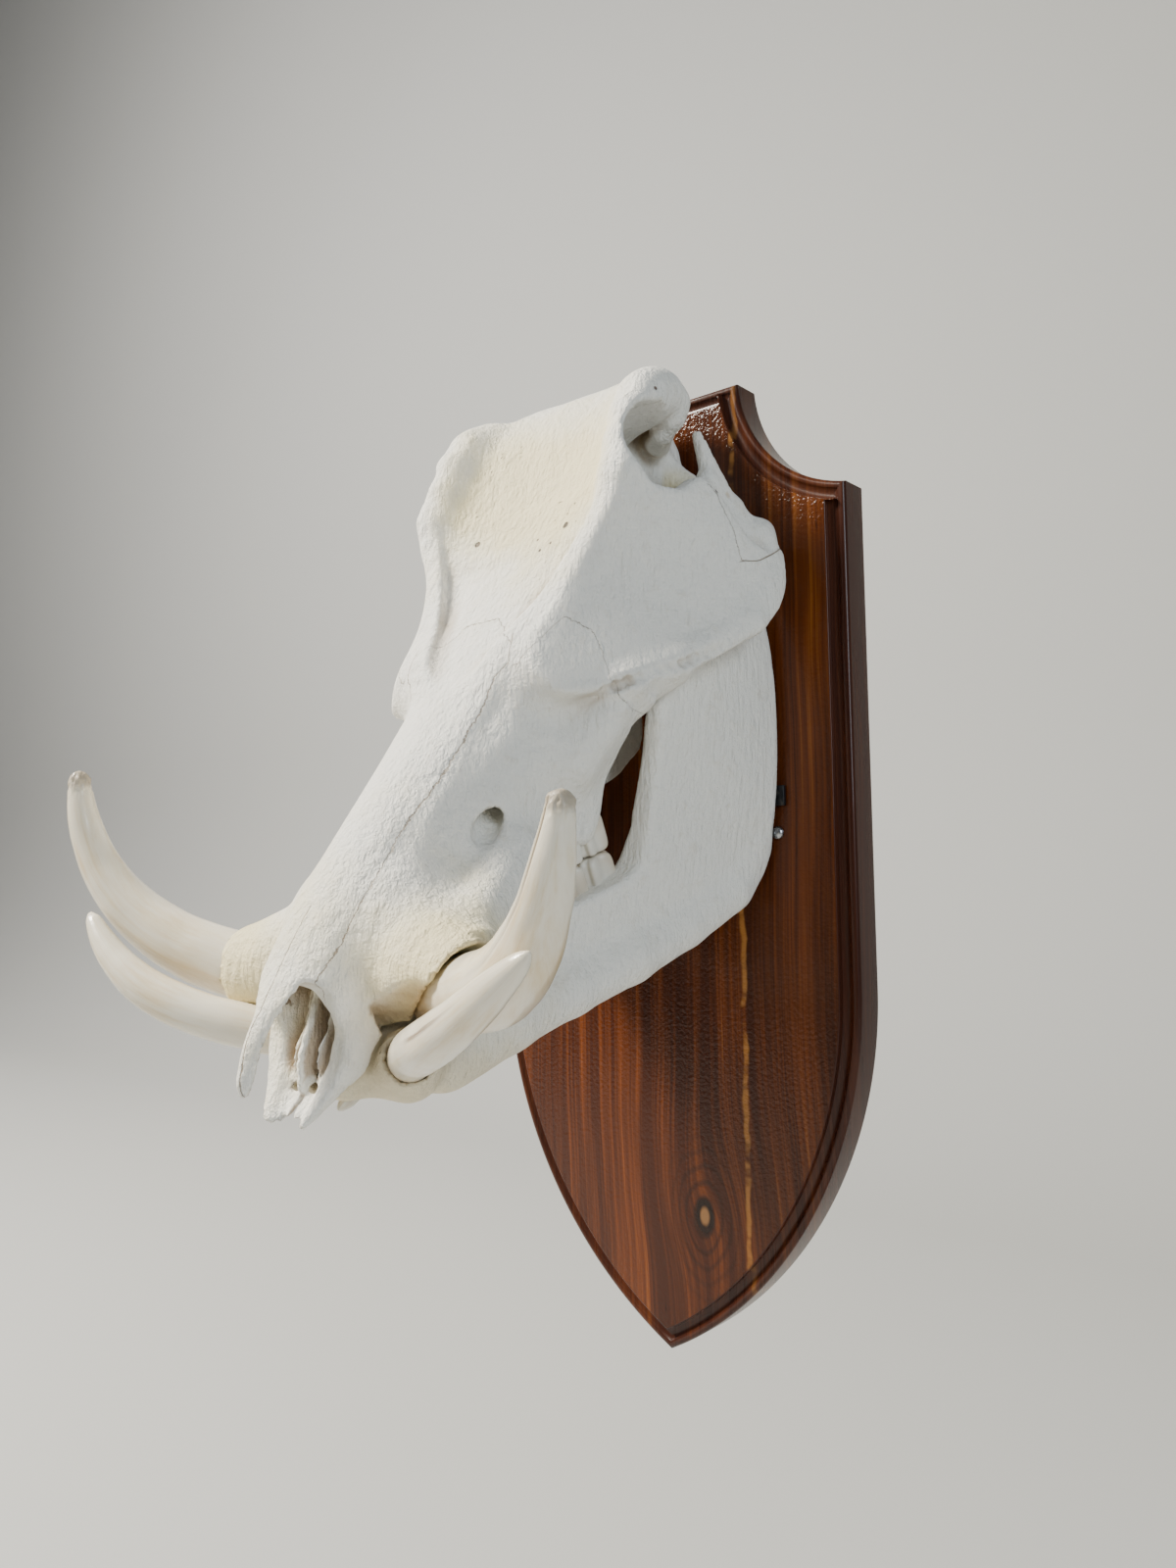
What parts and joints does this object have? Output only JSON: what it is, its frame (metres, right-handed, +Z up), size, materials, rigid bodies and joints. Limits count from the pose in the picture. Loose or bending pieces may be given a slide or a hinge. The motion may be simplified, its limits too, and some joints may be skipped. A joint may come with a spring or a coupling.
{
  "type": "warthog skull mount",
  "caption": "Warthog skull with hanging jaw and long curved tusks, fixed face out to a moulded, pointed wooden shield that hangs flat on a wall.",
  "frame": {"origin": "middle of the shield's flat back, at half the shield's height", "axes": "+Z up along the shield, -Y out from the wall towards the snout, +X to the skull's own left side"},
  "size_m": [0.2969, 0.2751, 0.5011],
  "materials": {
    "varnished_wood": "high gloss varnish over dark red-brown wood with long amber streaks",
    "bone": null,
    "ivory": null,
    "enamel": null,
    "dark_steel": "dark steel, bright on the screw head"
  },
  "bodies": {
    "root": {"shield": "varnished_wood", "cranium": "bone", "mandible": "bone", "upper_tusk_left": "ivory", "upper_tusk_right": "ivory", "lower_tusk_left": "ivory", "lower_tusk_right": "ivory", "upper_cheek_teeth_left": "enamel", "upper_cheek_teeth_right": "enamel", "lower_cheek_teeth_left": "enamel", "lower_cheek_teeth_right": "enamel", "lower_incisor_left": "enamel", "lower_incisor_right": "enamel", "skull_standoff": "dark_steel", "jaw_tab_left": "dark_steel", "jaw_tab_right": "dark_steel", "jaw_screw_left": "dark_steel", "jaw_screw_right": "dark_steel"}
  },
  "joints": []
}
